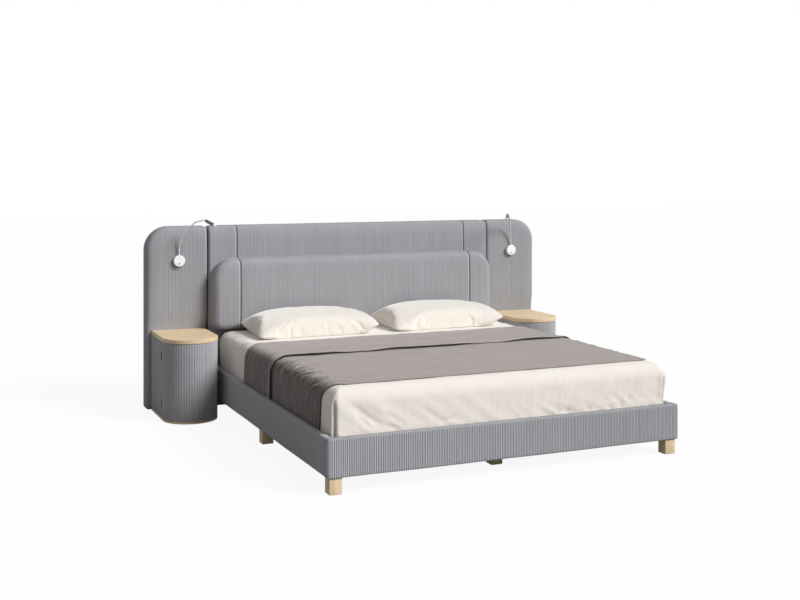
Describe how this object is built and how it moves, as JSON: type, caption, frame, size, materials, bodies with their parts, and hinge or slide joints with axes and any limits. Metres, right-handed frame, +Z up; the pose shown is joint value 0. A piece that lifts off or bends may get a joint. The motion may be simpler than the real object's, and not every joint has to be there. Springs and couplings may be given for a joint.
{
  "type": "bed with nightstands",
  "caption": "Upholstered bed with a wide ribbed headboard, attached round-front nightstands with doors, gooseneck reading lamps, mattress, cover, throw and pillows.",
  "frame": {"origin": "on the floor, under the middle of the whole piece's box", "axes": "+X along the headboard to the right as seen from the foot end, +Y from the foot end towards the headboard, +Z up"},
  "size_m": [2.714, 2.238, 1.1723],
  "materials": {
    "ribbed_fabric": "matte",
    "oak": "satin",
    "pine": "matte",
    "white_plastic": "gloss",
    "dark_plastic": "satin",
    "lens": "satin",
    "lamp_metal": "satin",
    "chrome": "polished",
    "steel": "satin",
    "mattress_fabric": "matte",
    "cream_cotton": "matte",
    "throw_cloth": "matte"
  },
  "bodies": {
    "frame": {"left_side_rail": "ribbed_fabric", "right_side_rail": "ribbed_fabric", "footboard": "ribbed_fabric", "head_rail": "pine", "centre_beam": "pine", "slats": "pine", "slat_battens": "pine", "corner_brackets": "steel", "frame_bolts": "steel", "front_legs": "oak", "mid_legs": "oak", "beam_legs": "oak", "left_wing_board": "pine", "left_wing_pad": "ribbed_fabric", "right_wing_board": "pine", "right_wing_pad": "ribbed_fabric", "centre_board": "pine", "centre_pad": "ribbed_fabric", "cushion_board": "pine", "cushion_pad": "ribbed_fabric", "join_plates": "steel", "left_stand_top": "oak", "left_stand_base": "oak", "left_stand_sides": "ribbed_fabric", "left_stand_back": "oak", "left_stand_shelf": "oak", "left_fixed_hinges": "steel", "right_stand_top": "oak", "right_stand_base": "oak", "right_stand_sides": "ribbed_fabric", "right_stand_back": "oak", "right_stand_shelf": "oak", "right_fixed_hinges": "steel", "shelf_pins": "steel", "stand_bolts": "steel", "left_lamp_base": "white_plastic", "right_lamp_base": "white_plastic", "lamp_plates": "dark_plastic", "mattress": "mattress_fabric", "bed_cover": "cream_cotton", "throw": "throw_cloth", "left_pillow": "cream_cotton", "right_pillow": "cream_cotton"},
    "left_door": {"left_door": "ribbed_fabric", "left_door_pull": "steel", "left_door_hinges": "steel"},
    "left_lamp_button": {"left_lamp_button": "dark_plastic"},
    "left_lamp_collar": {"left_lamp_collar": "lamp_metal"},
    "left_lamp_neck": {"left_lamp_neck": "chrome"},
    "left_lamp_head": {"left_lamp_head": "lamp_metal", "left_lamp_lens": "lens"},
    "right_door": {"right_door": "ribbed_fabric", "right_door_pull": "steel", "right_door_hinges": "steel"},
    "right_lamp_button": {"right_lamp_button": "dark_plastic"},
    "right_lamp_collar": {"right_lamp_collar": "lamp_metal"},
    "right_lamp_neck": {"right_lamp_neck": "chrome"},
    "right_lamp_head": {"right_lamp_head": "lamp_metal", "right_lamp_lens": "lens"}
  },
  "joints": [
    {"name": "left_door_hinge", "type": "hinge", "parent": "frame", "child": "left_door", "pos_m": [-1.326, 0.7507, 0.237], "axis": [0, 0, 1], "range_deg": [-105, 0]},
    {"name": "left_lamp_press", "type": "slide", "parent": "frame", "child": "left_lamp_button", "axis": [0, 1, 0], "range_m": [0, 0.0015], "stiffness_N_per_m": 300},
    {"name": "left_lamp_swivel", "type": "hinge", "parent": "frame", "child": "left_lamp_collar", "pos_m": [-1.161, 1.0015, 0.945], "axis": [0, 0, 1], "range_deg": [-95, 35]},
    {"name": "left_lamp_bend", "type": "hinge", "parent": "left_lamp_collar", "child": "left_lamp_neck", "pos_m": [-1.161, 1.0015, 0.9535], "axis": [0.8192, 0.5736, 0], "range_deg": [-15, 35]},
    {"name": "left_lamp_tilt", "type": "hinge", "parent": "left_lamp_neck", "child": "left_lamp_head", "pos_m": [-1.04055, 0.82948, 1.1635], "axis": [0.8192, 0.5736, 0], "range_deg": [-40, 40]},
    {"name": "right_door_hinge", "type": "hinge", "parent": "frame", "child": "right_door", "pos_m": [1.326, 0.7507, 0.237], "axis": [0, 0, 1], "range_deg": [0, 105]},
    {"name": "right_lamp_press", "type": "slide", "parent": "frame", "child": "right_lamp_button", "axis": [0, 1, 0], "range_m": [0, 0.0015], "stiffness_N_per_m": 300},
    {"name": "right_lamp_swivel", "type": "hinge", "parent": "frame", "child": "right_lamp_collar", "pos_m": [1.161, 1.0015, 0.945], "axis": [0, 0, 1], "range_deg": [-35, 95]},
    {"name": "right_lamp_bend", "type": "hinge", "parent": "right_lamp_collar", "child": "right_lamp_neck", "pos_m": [1.161, 1.0015, 0.9535], "axis": [0.8192, -0.5736, 0], "range_deg": [-15, 35]},
    {"name": "right_lamp_tilt", "type": "hinge", "parent": "right_lamp_neck", "child": "right_lamp_head", "pos_m": [1.04055, 0.82948, 1.1635], "axis": [0.8192, -0.5736, 0], "range_deg": [-40, 40]}
  ]
}
